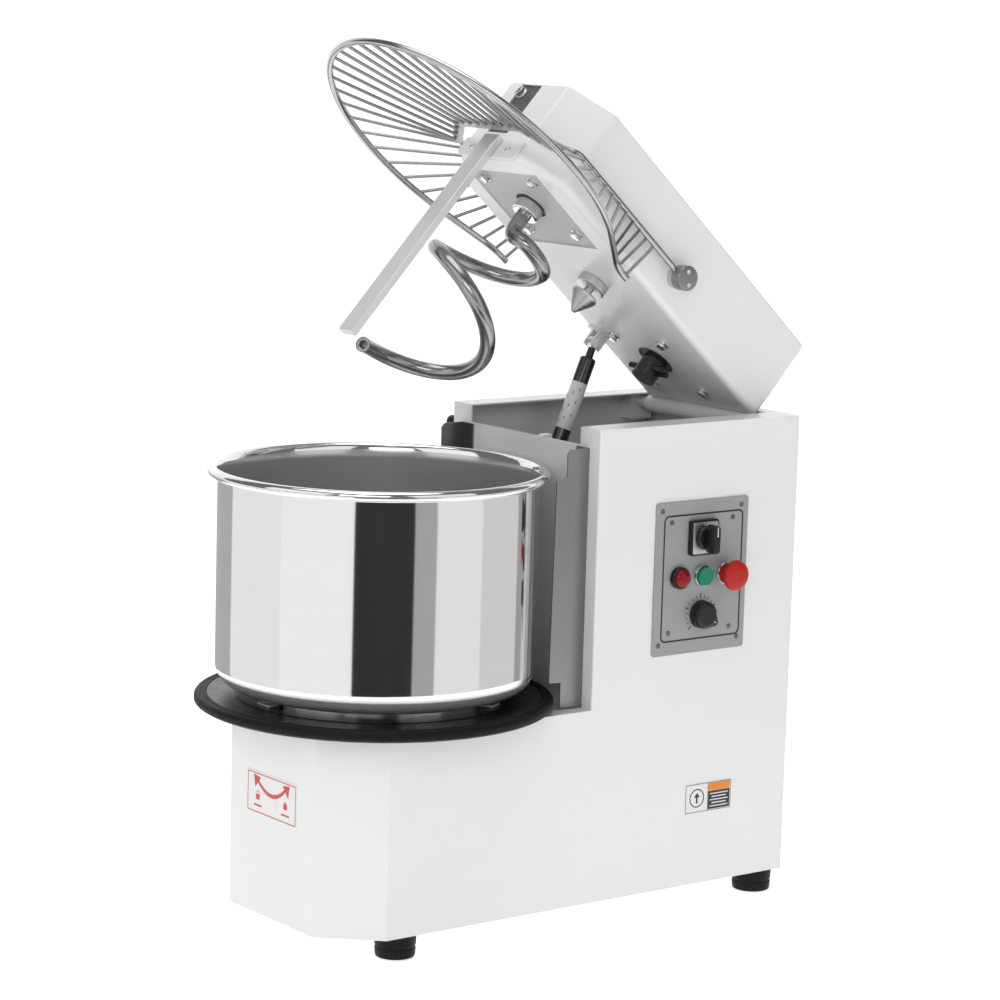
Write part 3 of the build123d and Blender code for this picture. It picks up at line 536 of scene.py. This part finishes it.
def make_buttons():
    lamp, start, stop = (on_panel(CONTROL_Y + PITCH * step, CONTROL_Z) for step in (-1, 0, 1))
    black_ring = [(12.6, 0), (14.4, 0), (14.4, 6.5), (13.6, 8), (12.6, 8)]
    ring = lathe("lamp_ring", black_ring, lamp, 0.5, 72)
    keep(ring, "frame", "plastic")
    chrome = []
    for number, (place, outline) in enumerate([
            (start, [(12.5, 0), (14.5, 0), (14.5, 3.6), (13.9, 5.9), (12.9, 5.9), (12.5, 4.6)]),
            (stop, [(9.3, 0), (15, 0), (15, 3.6), (14.2, 5.9), (10.2, 5.9), (9.3, 4.8)])]):
        chrome.append(lathe(f"collar_{number}", outline, place, 0.5, 72))
    keep(joined("button_collars", chrome), "frame", "plated", ["control_collars"])
    glass = [(0, 15.4), (5, 15.2), (9.2, 13.8), (11.6, 11.2), (12.3, 8.2), (12.3, 0.3), (0, 0.3)]
    lens = lathe("lamp_lens", glass, lamp, 1.2, 72)
    keep(lens, "frame", "lens", ["power_lamp"])
    cap = [(0, 11.2), (9.6, 11.2), (10.4, 11.8), (11.4, 11.6), (12.1, 10.6), (12.1, 3.8), (0, 3.8)]
    keep(lathe("start_cap", cap, start, 0.6, 72), "start", "green", ["start_button"])
    mushroom = [(0, 31.6), (9, 31.2), (16.2, 29.4), (19.4, 26.4), (20, 23.5), (19.7, 20.2), (17.5, 19.3), (10.6, 17.8),
                (9, 15), (9, 10.5), (9, 1), (0, 1)]
    keep(lathe("stop_mushroom", mushroom, stop, 1.2, 96), "stop", "red", ["stop_button"])


def make_speed_knob():
    place = on_panel(CONTROL_Y, CONTROL_Z - 51)
    body = [(0, 16.2), (12.5, 16.6), (15.8, 15.4), (16.9, 13.0), (17.6, 4.4), (18.4, 2.9), (18.4, 0.7), (0, 0.7)]
    core = lathe("speed_core", body, place, 1.2, 96)
    flutes = []
    for step in range(24):
        angle = math.radians(-57 + 15 * step)
        spot = place @ Matrix.Rotation(angle, 4, "Z") @ Matrix.Translation((17.0 * mm, 0, 3.2 * mm))
        flutes.append(plate(f"flute_{step}", rounded_box(0.8, 0.9, 0.5, 3), 9.6, spot, 0.3))
    nose = place @ Matrix.Rotation(math.radians(-33), 4, "Z") @ Matrix.Translation((0, 0, 0.8 * mm))
    wedge = [(8, -14), (17.5, -9), (25.4, -2.4), (25.4, 2.4), (17.5, 9), (8, 14)]
    pointer = plate("speed_pointer", wedge, 11.5, nose, 2.0)
    keep(joined("speed_dial", [core, pointer] + flutes), "speed_dial", "plastic", ["speed_knob"])
    index = plate("speed_index", rounded_box(4.6, 0.55, 0.3, 2), 0.2,
                  nose @ Matrix.Translation((16.6 * mm, 0, 11.4 * mm)), 0)
    keep(index, "speed_dial", "white_ink")


# --- Labels -------------------------------------------------------------------------------------
def padlock(name, place, open_shackle):
    """Small padlock drawn as flat raised shapes."""
    body = plate(name, rounded_box(4.2, 3.6, 0.8, 3), 0.12, place, 0)
    lift = 2.0 if open_shackle else 0.0
    arc = [(3.0 * math.cos(math.pi * step / 10), 3.2 + lift + 3.0 * math.sin(math.pi * step / 10)) for step in range(11)]
    inner = [(x * 0.6, 3.2 + lift + (y - 3.2 - lift) * 0.6) for x, y in arc]
    shackle = plate(name + "_shackle", arc + inner[::-1], 0.12, place, 0)
    return [body, shackle]


def make_front_label():
    """White film with a red frame, a curved double arrow and two padlocks."""
    middle = from_bowl(-0.5, -151.9, 185.25)
    place = Matrix.Translation(middle) @ Matrix(((1, 0, 0, 0), (0, 0, -1, 0), (0, 1, 0, 0), (0, 0, 0, 1)))
    marks = [band("label_frame", rounded_box(54.2, 25.4, 2), rounded_box(52.9, 24.1, 1.2), 0.12, place)]
    sag, reach = 13.0, 30.0
    count = 24
    upper, lower = [], []
    for step in range(count + 1):
        x = -reach + 2 * reach * step / count
        y = 15.0 - sag * (1 - (x / reach) ** 2)
        upper.append((x, y + 2.6))
        lower.append((x, y - 2.6))
    marks.append(plate("label_arc", upper + lower[::-1], 0.12, place, 0))
    for side in (-1, 1):
        head = [(side * 40.5, 23.0), (side * 24.5, 20.5), (side * 37.0, 6.5)]
        marks.append(plate(f"label_tip_{side}", head, 0.12, place, 0))
        marks += padlock(f"label_lock_{side}", place @ Matrix.Translation((side * 31 * mm, -5 * mm, 0)), side < 0)
        dash = place @ Matrix.Translation((side * 31 * mm, -16 * mm, 0))
        marks.append(plate(f"label_dash_{side}", rounded_box(9, 1.2, 0.5, 2), 0.12, dash, 0))
    keep(joined("front_label_print", marks), "frame", "red_ink")


def make_side_label():
    """Generic notice: a plain symbol beside an orange and black field with ruled lines."""
    place = on_panel(429.75, 145.75, 156.0 - PLATE_X)
    black = [band("notice_frame", rounded_box(38.9, 19.0, 1), rounded_box(38.1, 18.2, 0.6), 0.1, place)]
    field = place @ Matrix.Translation((18.5 * mm, -5.2 * mm, 0))
    black.append(plate("notice_field", rounded_box(18.6, 12.2, 0.5, 2), 0.1, field, 0))
    symbol = place @ Matrix.Translation((-19.5 * mm, 0, 0))
    hatch = [band("symbol_ring", circle(12.5), circle(10.9), 0.1, symbol),
             plate("symbol_arrow", [(-1.4, -7), (1.4, -7), (1.4, 1), (5, 1), (0, 7.5), (-5, 1), (-1.4, 1)], 0.1, symbol, 0)]
    divider = place @ Matrix.Translation((-0.8 * mm, 0, 0))
    black += hatch + [plate("notice_divider", rounded_box(0.4, 18.2, 0.1, 2), 0.1, divider, 0)]
    keep(joined("notice_black", black), "frame", "line")
    orange = plate("notice_band", rounded_box(18.6, 5.2, 0.5, 2), 0.1,
                   place @ Matrix.Translation((18.5 * mm, 12.6 * mm, 0)), 0)
    keep(orange, "frame", "orange_ink")
    rules = []
    for row in range(5):
        spot = field @ Matrix.Translation((0, (8.4 - 4.2 * row) * mm, 0.1 * mm))
        rules.append(plate(f"rule_{row}", rounded_box(15.5 - row % 2 * 3, 0.7, 0.3, 2), 0.08, spot, 0))
    keep(joined("notice_rules", rules), "frame", "white_ink")


# --- Head ---------------------------------------------------------------------------------------
def head_place(x, forward, up, direction):
    """Place on the raised head, local Z along a direction given as (x, forward, up)."""
    aim = HEAD.to_3x3() @ Vector((direction[0], -direction[1], direction[2]))
    return facing(on_head(x, forward, up), aim)


def make_head_bolts():
    bolts = []
    spots = [(x, 416 - y, 4.8) for x in (-50, 50) for y in (-50, 50)]
    spots += [(-14 + x, 105 - y, 2.8) for x in (-51, 50) for y in (-42, 58)]
    for number, (x, forward, up) in enumerate(spots):
        place = head_place(x, forward, up, (0, 0, -1))
        bolts.append(lathe(f"washer_{number}", [(0, 0), (8.4, 0), (8.6, 0.5), (8.2, 1.1), (0, 1.1)], place, 0.3, 48))
        turned = place @ Matrix.Rotation(0.4 * number, 4, "Z")
        bolts.append(hexagon(f"bolt_{number}", turned, 12.6, 5.0, 1.0))
    nose = head_place(-25, 512, 108, (0, 1, 0))
    bolts.append(lathe("nose_washer", [(0, 0), (8, 0), (8.2, 0.6), (7.8, 1.2), (0, 1.2)], nose, 0.3, 48))
    bolts.append(hexagon("nose_bolt", nose, 12.6, 7.4, 1.0))
    for x in (-37, 37):
        spot = head_place(x, 516, 13, (0, 1, 0))
        bolts.append(lathe(f"bracket_screw_{x}", [(0, 1.6), (1.6, 1.6), (2.2, 2.8), (3.9, 2.2), (4.5, 0)], spot, 0.4, 40))
    keep(joined("head_screws", bolts), "head", "plated", ["head_bolts"])


def make_lock_pin():
    place = head_place(0, 268, 0, (0, 0, 1))
    collar = lathe("pin_collar", [(0, -9.8), (19.5, -9.8), (20.9, -8.6), (20.9, 1.5), (20.2, 2.7), (0, 2.7)], place, 0.6, 96)
    neck = lathe("pin_neck", [(0, -20.5), (6, -20.5), (6, -9.5), (0, -9.5)], place, 0.3, 48)
    cone = lathe("pin_cone", [(0, -48.8), (2.6, -48.6), (4.2, -46.4), (18.6, -24.6), (19, -22.4), (18.3, -20.1), (0, -20.1)],
                 place, 1.2, 96)
    keep(joined("lock_pin_turned", [collar, neck, cone]), "head", "turned", ["lock_pin"])


def hook_points():
    """Control points of the hook: down from the head, out to one side, then a falling helix."""
    first, last = math.radians(174), math.radians(672)
    high, low, corners = -62.0, -273.0, 18
    outer = 66.0 / math.cos((last - first) / (corners - 1) / 2)

    def place(radius, angle, up):
        return on_head(radius * math.sin(angle), 416 + radius * math.cos(angle), up)

    points = [on_head(0, 416, 0), on_head(0, 416, -12.8), on_head(0, 416, -46), place(35, math.radians(97), -50),
              place(66, math.radians(143), -57)]
    for corner in range(corners):
        share = corner / (corners - 1)
        fall = share ** 1.2 + 0.3 * share ** 2 * (1 - share)
        points.append(place(outer, first + share * (last - first), high + fall * (low - high)))
    return points


def make_spiral():
    points = hook_points()
    hook = bars("hook_bar", [points], 9.98, smooth=True, resolution=16)
    hook.data.use_fill_caps = False
    hook.data.resolution_u = 20
    keep(hook, "spiral", "satin_dark", ["spiral_hook"])
    run = (points[-1] - points[-2]).normalized()
    tip = facing(points[-1], run)
    outline = [(9.9, -1.2), (9.9, -0.6), (9.0, 0.0), (6.4, 0.0), (5.2, -0.8), (5.0, -9), (0, -9)]
    keep(lathe("hook_tip", outline, tip, 0.6, 64), "spiral", "satin_dark")
    axis = head_place(0, 416, 0, (0, 0, 1))
    collar = lathe("hook_collar", [(9.9, -11.9), (16.4, -11.9), (18.9, -9.6), (18.9, 5.9), (9.9, 5.9)], axis, 0.8, 96)
    shaft = lathe("hook_spindle", [(0, 92), (14.6, 92), (15, 91), (15, 84), (24.6, 84), (24.6, 72), (15, 72), (15, 6),
                                   (9.9, 5.9), (0, 5.9)], axis, 0.3, 64)
    keep(joined("spiral_spindle", [collar, shaft]), "spiral", "plated", ["spiral_shaft"])


def make_strut():
    """Gas strut: black tube with a white band, a bright end fitting and a chrome rod."""
    pivot = Vector(joints["strut_swing"]["pos_m"])
    down = Vector(joints["strut_stroke"]["axis"])
    place = facing(pivot, down)
    outline = [(4.1, 160), (4.2, 165), (9.6, 165), (11, 163.4), (11, 24), (9.4, 22), (5.4, 22), (5.2, 8), (0, 8)]
    body = lathe("strut_tube_outer", outline, place, 1.0, 72)
    keep(body, "strut_tube", "black_paint", ["strut_cylinder"])
    label = lathe("strut_band", [(11.03, 58), (11.15, 58.2), (11.15, 123.8), (11.03, 124)], place, 0, 72)
    keep(label, "strut_tube", "film")
    print_marks = []
    for step in range(9):
        spot = place @ Matrix.Rotation(math.radians(20 + 40 * (step % 3)), 4, "Z") \
            @ Matrix.Translation((11.2 * mm, 0, (68 + 6 * step) * mm)) @ Matrix.Rotation(math.pi / 2, 4, "Y")
        print_marks.append(plate(f"strut_mark_{step}", rounded_box(2.2, 0.5, 0.2, 2), 0.1, spot, 0))
    keep(joined("strut_lines", print_marks), "strut_tube", "line")
    side = facing(pivot, (1, 0, 0))
    eye = lathe("strut_eye", [(4.1, -5), (8.4, -5), (9, -4.4), (9, 4.4), (8.4, 5), (4.1, 5)], side, 0.3, 48)
    neck = lathe("strut_neck", [(0, 7), (4.9, 7), (4.9, 22.5), (0, 22.5)], place, 0.2, 40)
    keep(joined("strut_eye_fitting", [eye, neck]), "strut_tube", "satin")


def make_hinge():
    place = facing(HINGE, (1, 0, 0))
    outline = [(8.05, -112), (10.8, -112), (11.5, -111), (11.5, 111), (10.8, 112), (8.05, 112)]
    keep(lathe("hinge_barrel", outline, place, 0.4, 72), "head", "white", ["hinge_tube"])


# --- Guard --------------------------------------------------------------------------------------
def in_guard(x, y, up):
    """Point of the raised guard, from bowl coordinates with the head lowered."""
    lowered_forward = (HINGE.y - BOWL_Y) / mm - y
    return on_head(x, lowered_forward, up)


def half_ring(count=72):
    """Points of half the guard's ring from its front middle, as (x, y) about the lowered bowl's axis."""
    radius, turn, end_x, end_y, bend = 213.2, math.radians(125), 126.0, 215.0, 60.0
    points = []
    for step in range(count + 1):
        angle = turn * step / count
        points.append(Vector((radius * math.sin(angle), -radius * math.cos(angle))))
    corner_y = points[-1].y - (points[-1].x - end_x) * math.tan(turn)
    corner = Vector((end_x, corner_y))
    inward = (points[-1] - corner).normalized()
    deflection = math.pi - inward.angle(Vector((0, 1)))
    reach = bend * math.tan(deflection / 2)
    centre = corner + Vector((0, reach)) + Vector((bend, 0))
    for step in range(13):
        angle = math.pi + deflection * (1 - step / 12)
        points.append(centre + bend * Vector((math.cos(angle), -abs(math.sin(angle)))))
    points.append(Vector((end_x, end_y)))
    return points


def along(points, distance):
    """Point at a distance along a polyline."""
    for start, end in zip(points, points[1:]):
        step = (end - start).length
        if distance <= step:
            return start + (end - start) * (distance / step)
        distance -= step
    return points[-1]


def length_of(points):
    return sum((end - start).length for start, end in zip(points, points[1:]))


def make_guard():
    up = -18.2
    half = half_ring()
    right = [in_guard(point.x, point.y, up) for point in half]
    left = [in_guard(-point.x, point.y, up) for point in half]
    ring = bars("guard_hoop", [left[::-1] + right[1:]], 4.5, resolution=10)
    keep(ring, "guard", "polished", ["guard_ring"])

    rest = 33 + 4.2
    arms = []
    for side in (-1, 1):
        path = [Vector((122 * side, 260, 44.3)), Vector((122 * side, 300, 44.3)), Vector((122 * side, 470, 44.3)),
                Vector((121.5 * side, 482, 44.0)), Vector((107 * side, 497, rest + 0.6)), Vector((99 * side, 507, rest))]
        arms.append([on_head(*point) for point in path])
    keep(bars("guard_side_arms", arms, 4.2, smooth=True, resolution=10), "guard", "polished", ["guard_arms"])

    rod_up = 29.4
    inner = [Vector((122, 308.5, 44.3)), Vector((122, 480, 44.3)), Vector((101, 503, rod_up)),
             Vector((60, 540, rod_up)), Vector((0, 540, rod_up))]
    per_side = 20
    steps = [0.0]
    for step in range(per_side):
        steps.append(steps[-1] + min(19 + 1.9 * step, 29.6))
    total = length_of(half)
    rods, welds = [], []
    for number, step in enumerate(steps):
        back = 5.0 + step / steps[-1] * (total - 5.0)
        outer = along(half, total - back)
        inside = along(inner, length_of(inner) * number / per_side)
        for side in (-1, 1) if number < per_side else (1,):
            rods.append([on_head(side * inside.x, inside.y, inside.z), in_guard(side * outer.x, outer.y, up)])
    keep(bars("guard_wires", rods, 2.2, resolution=5), "guard", "satin_dark", ["guard_rods"])

    hubs, screws = [], []
    for side in (-1, 1):
        place = head_place(118.3 * side, 244.6, 44.3, (side, 0, 0))
        hubs.append(lathe(f"hub_{side}", [(5.1, 0.2), (15.4, 0.2), (16.3, 1.1), (16.3, 15.6), (15.2, 16.7), (0, 16.7)], place, 0.4, 96))
        for offset in (-8.5, 8.5):
            spot = head_place(135 * side, 244.6 + offset * 0.72, 44.3 + offset * 0.69, (side, 0, 0))
            screws.append(lathe(f"hub_screw_{side}_{offset}", [(0, 0.3), (1.3, 0.3), (1.4, 1.4), (2.7, 1.4), (3, 1.0), (3, -0.3)], spot, 0.2, 32))
    # The hub caps take the fins' darkened steel, whose dark colour is a painted reflection.
    keep(joined("guard_hub_caps", hubs), "guard", "fin", ["guard_hubs"])
    keep(joined("guard_hub_screws", screws), "guard", "plated")


# --- Studio -------------------------------------------------------------------------------------
def around(azimuth, distance, height):
    """Place at an angle round the machine, where 0 faces its front and 90 its control side."""
    angle = math.radians(azimuth)
    return Vector((distance * math.sin(angle), -distance * math.cos(angle), height))


def area_light(name, place, target, size, brightness):
    data = bpy.data.lights.new(name, "AREA")
    data.shape = "RECTANGLE"
    data.size, data.size_y = size
    data.energy = brightness * math.pi * size[0] * size[1]
    light = bpy.data.objects.new(name, data)
    light.location = place
    light.rotation_mode = "QUATERNION"
    light.rotation_quaternion = (Vector(target) - Vector(place)).to_track_quat("-Z", "Y")
    light.visible_camera = False
    bpy.context.collection.objects.link(light)


def make_floor():
    """Pale floor that curves up into a backdrop far behind the machine."""
    half, depth, rise, bend = 14.0, 9.0, 12.0, 3.0
    profile = [(-14.0, 0.0), (-4.0, 0.0), (depth - bend, 0.0)]
    for step in range(1, 17):
        angle = step / 16 * math.pi / 2
        profile.append((depth - bend + bend * math.sin(angle), bend - bend * math.cos(angle)))
    profile.append((depth, rise))
    away = Matrix.Rotation(math.radians(52.66), 4, "Z")
    mesh = bmesh.new()
    rows = [[mesh.verts.new(away @ Vector((side * half, y, z - 0.0005))) for side in (-1, 1)] for y, z in profile]
    for low, high in zip(rows, rows[1:]):
        mesh.faces.new([low[0], low[1], high[1], high[0]])
    floor = object_from("studio_floor", mesh, 60)
    floor.data.materials.append(surface("studio_paper", (0.93, 0.93, 0.93), (0.91, 0.91, 0.91), roughness=(0.7, 0.8),
                                        grain=(2, 2, 2), fine=(60, 60, 60), bump=0.01))
    shader = floor.data.materials[0].node_tree.nodes["Principled BSDF"]
    shader.inputs["Emission Color"].default_value = (1, 1, 1, 1)
    shader.inputs["Emission Strength"].default_value = 0.66


def make_card(name, first, last, glow):
    """Curved studio card between two angles, that only the polished surfaces see."""
    distance, height = 1.3, 0.46
    steps = max(2, round((last - first) / 6))
    mesh = bmesh.new()
    columns = []
    for step in range(steps + 1):
        azimuth = first + (last - first) * step / steps
        columns.append([mesh.verts.new(around(azimuth, distance, z)) for z in (0.0, height)])
    for left, right in zip(columns, columns[1:]):
        mesh.faces.new([left[0], right[0], right[1], left[1]])
    card = object_from(name, mesh)
    card.data.materials.append(surface(name, (0.02, 0.02, 0.02), (0.01, 0.01, 0.01), roughness=(0.9, 1.0),
                                       grain=(3, 3, 3)))
    shader = card.data.materials[0].node_tree.nodes["Principled BSDF"]
    shader.inputs["Emission Color"].default_value = (1, 1, 1, 1)
    shader.inputs["Emission Strength"].default_value = glow
    card.visible_camera = False
    card.visible_diffuse = False
    card.visible_shadow = False


def make_world():
    world = bpy.data.worlds.new("studio")
    world.use_nodes = True
    background = world.node_tree.nodes["Background"]
    background.inputs["Color"].default_value = (0.95, 0.96, 0.98, 1)
    background.inputs["Strength"].default_value = 0.18
    bpy.context.scene.world = world


def make_camera():
    """Camera at the photograph's viewing angle, level apart from a slight roll."""
    azimuth, elevation, roll = math.radians(52.66), math.radians(9.10), math.radians(1.646)
    back = Vector((math.sin(azimuth) * math.cos(elevation), -math.cos(azimuth) * math.cos(elevation), math.sin(elevation)))
    level = Vector((0, 0, 1)).cross(back).normalized()
    over = back.cross(level)
    right = level * math.cos(roll) + over * math.sin(roll)
    above = over * math.cos(roll) - level * math.sin(roll)
    camera = bpy.data.objects.new("camera", bpy.data.cameras.new("camera"))
    camera.data.sensor_width = 36.0
    camera.data.lens = 36.0 * 3.2987
    camera.data.clip_end = 100.0
    turn = Matrix((right, above, back)).transposed().to_4x4()
    camera.matrix_world = Matrix.Translation(from_bowl(3335.4, -2353.3, 1207.0)) @ turn
    bpy.context.collection.objects.link(camera)
    bpy.context.scene.camera = camera


def make_studio():
    make_floor()
    make_world()
    make_camera()
    centre = (0, 0, 0.55)
    area_light("front_softbox", around(-2, 4.6, 2.5), centre, (4.0, 3.6), 0.9)
    area_light("side_softbox", around(98, 4.6, 2.5), centre, (4.0, 3.6), 0.8)
    area_light("camera_softbox", around(44, 4.4, 2.4), (0, 0.2, 0.75), (2.6, 1.6), 2.6)
    area_light("top_softbox", (0.0, -0.4, 4.2), centre, (3.0, 3.0), 2.4)
    ahead = 52.66
    glows = [(-150, -108, 0.45), (-108, -62, 0.92), (-62, -18, 1.0), (-18, 18, 0.0), (18, 33, 0.4), (33, 70, 0.88),
             (70, 112, 0.7), (112, 150, 0.35)]
    for number, (first, last, glow) in enumerate(glows):
        make_card(f"card_{number}", ahead + first, ahead + last, glow)
    bpy.context.scene.view_settings.view_transform = "Standard"


paint_nodes()
make_bowl()
make_turntable()
make_feet()
make_case_details()
make_latch_knob()
make_panel_marks()
make_panel_screws()
make_mode_switch()
make_buttons()
make_speed_knob()
make_front_label()
make_side_label()
make_head_bolts()
make_lock_pin()
make_spiral()
make_strut()
make_hinge()
make_guard()
make_studio()
